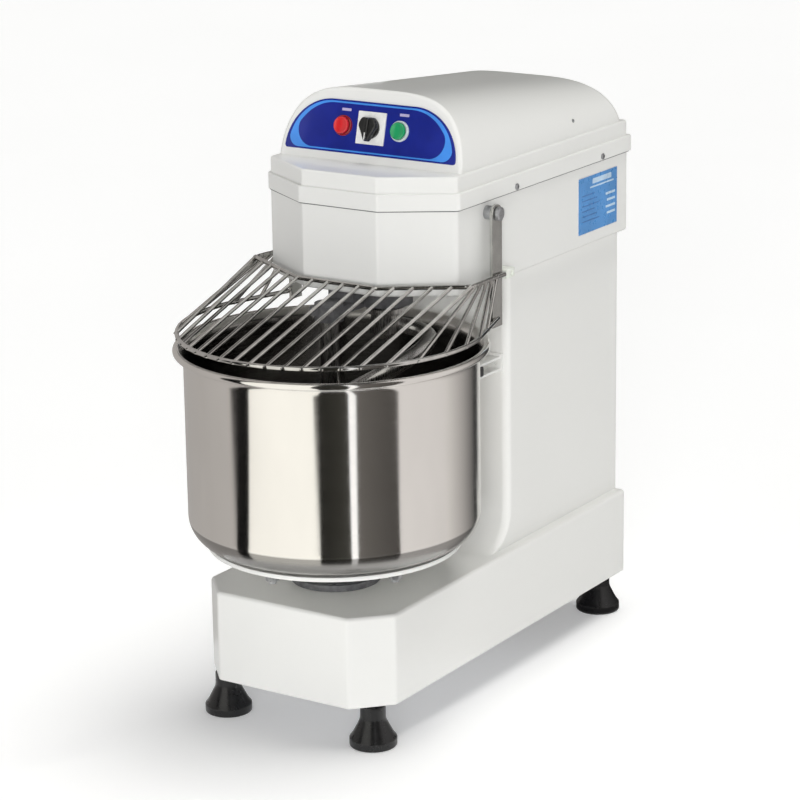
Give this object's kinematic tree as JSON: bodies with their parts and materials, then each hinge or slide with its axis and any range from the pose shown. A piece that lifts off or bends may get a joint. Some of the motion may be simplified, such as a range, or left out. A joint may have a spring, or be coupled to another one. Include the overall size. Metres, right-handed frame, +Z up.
{
  "type": "spiral dough mixer",
  "caption": "Floor-standing spiral dough mixer: stainless bowl under a fixed head, spiral hook, breaker bar, hinged wire guard and push-button panel.",
  "frame": {"origin": "on the floor, under the middle of the machine's outline", "axes": "+Z up, the front of the machine (bowl side) faces -Y, +X to the right seen from the front"},
  "size_m": [0.4279, 0.772, 0.8463],
  "materials": {
    "paint_white": "smooth gloss white powder coat",
    "stainless_bowl": "polished stainless with fine turned grain",
    "bright_wire": "bright polished stainless wire",
    "stainless_bar": "drawn flat bar, satin",
    "hook_steel": "cast stainless, satin polished",
    "foot_black": "moulded black nylon, glossy",
    "panel_blue": "printed overlay, gloss",
    "bezel_light": "moulded, light",
    "plate_white": "printed switch plate",
    "button_red": "moulded red",
    "button_green": "moulded green",
    "knob_black": "moulded black",
    "label_blue": "thin printed plate",
    "plastic_white": "moulded white nylon",
    "plastic_dark": "moulded dark grey",
    "zinc_steel": "zinc plated",
    "machined_steel": "turned and ground",
    "cast_grey": "as cast, painted grey",
    "chain_steel": "oiled roller chain",
    "belt_rubber": "wrapped V-belt",
    "motor_paint": "blue-grey machine enamel"
  },
  "bodies": {
    "frame": {"base_shell": "paint_white", "base_floor": "zinc_steel", "feet": "foot_black", "foot_studs": "zinc_steel", "column_shell": "paint_white", "rear_panel": "paint_white", "case_screws": "zinc_steel", "head_shell": "paint_white", "head_plate": "zinc_steel", "lid": "paint_white", "control_panel": "panel_blue", "button_bezels": "bezel_light", "switch_plate": "plate_white", "switch_blocks": "plastic_dark", "rating_plate": "label_blue", "interlock_housing": "plastic_white", "guard_pivot_pins": "zinc_steel", "breaker_bar": "hook_steel", "breaker_bracket": "cast_grey", "hook_bearing_housing": "cast_grey", "shaft_bearings": "machined_steel", "bearing_blocks": "cast_grey", "bowl_bearing_housing": "cast_grey", "motor_body": "motor_paint", "motor_mount": "zinc_steel", "fan_cover": "motor_paint", "electrical_box": "paint_white", "cable_gland": "plastic_dark", "roller_brackets": "paint_white", "drive_belts": "belt_rubber", "hook_chain": "chain_steel", "transfer_chain": "chain_steel", "bowl_chain": "chain_steel"},
    "bowl_unit": {"bowl": "stainless_bowl", "turntable": "paint_white", "turntable_bolts": "zinc_steel", "bowl_shaft": "machined_steel", "bowl_sprocket": "cast_grey"},
    "hook_unit": {"spiral_hook": "hook_steel", "hook_shaft": "hook_steel", "hook_sprocket": "cast_grey"},
    "countershaft_unit": {"countershaft": "machined_steel", "countershaft_pulley": "cast_grey", "countershaft_sprockets": "cast_grey"},
    "transfer_unit": {"transfer_shaft": "machined_steel", "transfer_sprockets": "cast_grey"},
    "motor_rotor": {"motor_shaft": "machined_steel", "motor_pulley": "cast_grey", "motor_fan": "plastic_dark"},
    "guard": {"guard_ring": "bright_wire", "guard_crown": "bright_wire", "guard_wires": "bright_wire", "guard_arms": "stainless_bar"},
    "stop_button": {"stop_button": "button_red"},
    "start_button": {"start_button": "button_green"},
    "selector": {"selector_knob": "knob_black"},
    "interlock": {"interlock_plunger": "plastic_dark"},
    "roller_left": {"guide_roller_left": "plastic_dark"},
    "roller_right": {"guide_roller_right": "plastic_dark"}
  },
  "joints": [
    {"name": "bowl_spin", "type": "hinge", "parent": "frame", "child": "bowl_unit", "pos_m": [0, -0.172, 0.3], "axis": [0, 0, 1], "continuous": true},
    {"name": "hook_spin", "type": "hinge", "parent": "frame", "child": "hook_unit", "pos_m": [0.026, -0.078, 0.6], "axis": [0, 0, 1], "continuous": true},
    {"name": "countershaft_spin", "type": "hinge", "parent": "frame", "child": "countershaft_unit", "pos_m": [0, 0.15, 0.4], "axis": [0, 0, 1], "continuous": true},
    {"name": "transfer_spin", "type": "hinge", "parent": "frame", "child": "transfer_unit", "pos_m": [0, 0.03, 0.12], "axis": [0, 0, 1], "continuous": true},
    {"name": "motor_spin", "type": "hinge", "parent": "frame", "child": "motor_rotor", "pos_m": [0, 0.29, 0.5], "axis": [0, 0, 1], "continuous": true},
    {"name": "guard_hinge", "type": "hinge", "parent": "frame", "child": "guard", "pos_m": [0, -0.017, 0.687], "axis": [-1, 0, 0], "range_deg": [0, 85]},
    {"name": "stop_push", "type": "slide", "parent": "frame", "child": "stop_button", "axis": [0, 0.969, -0.247], "range_m": [0, 0.0035], "stiffness_N_per_m": 600},
    {"name": "start_push", "type": "slide", "parent": "frame", "child": "start_button", "axis": [0, 0.969, -0.247], "range_m": [0, 0.0035], "stiffness_N_per_m": 600},
    {"name": "selector_turn", "type": "hinge", "parent": "frame", "child": "selector", "pos_m": [0, -0.06414, 0.79531], "axis": [0, -0.969, 0.247], "range_deg": [-45, 45]},
    {"name": "interlock_push", "type": "slide", "parent": "frame", "child": "interlock", "axis": [0, -1, 0], "range_m": [0, 0.004]},
    {"name": "roller_left_spin", "type": "hinge", "parent": "frame", "child": "roller_left", "pos_m": [-0.118, 0.0045, 0.455], "axis": [0, 0, 1], "continuous": true},
    {"name": "roller_right_spin", "type": "hinge", "parent": "frame", "child": "roller_right", "pos_m": [0.118, 0.0045, 0.455], "axis": [0, 0, 1], "continuous": true}
  ],
  "couplings": [
    {"joint": "hook_spin", "follows": "bowl_spin", "ratio": 9.0207},
    {"joint": "countershaft_spin", "follows": "bowl_spin", "ratio": 18.041},
    {"joint": "transfer_spin", "follows": "bowl_spin", "ratio": 5.3636},
    {"joint": "motor_spin", "follows": "bowl_spin", "ratio": 63.145},
    {"joint": "roller_left_spin", "follows": "bowl_spin", "ratio": -16.65},
    {"joint": "roller_right_spin", "follows": "bowl_spin", "ratio": -16.65},
    {"joint": "interlock_push", "follows": "guard_hinge", "m_per_rad": 0.002561}
  ]
}
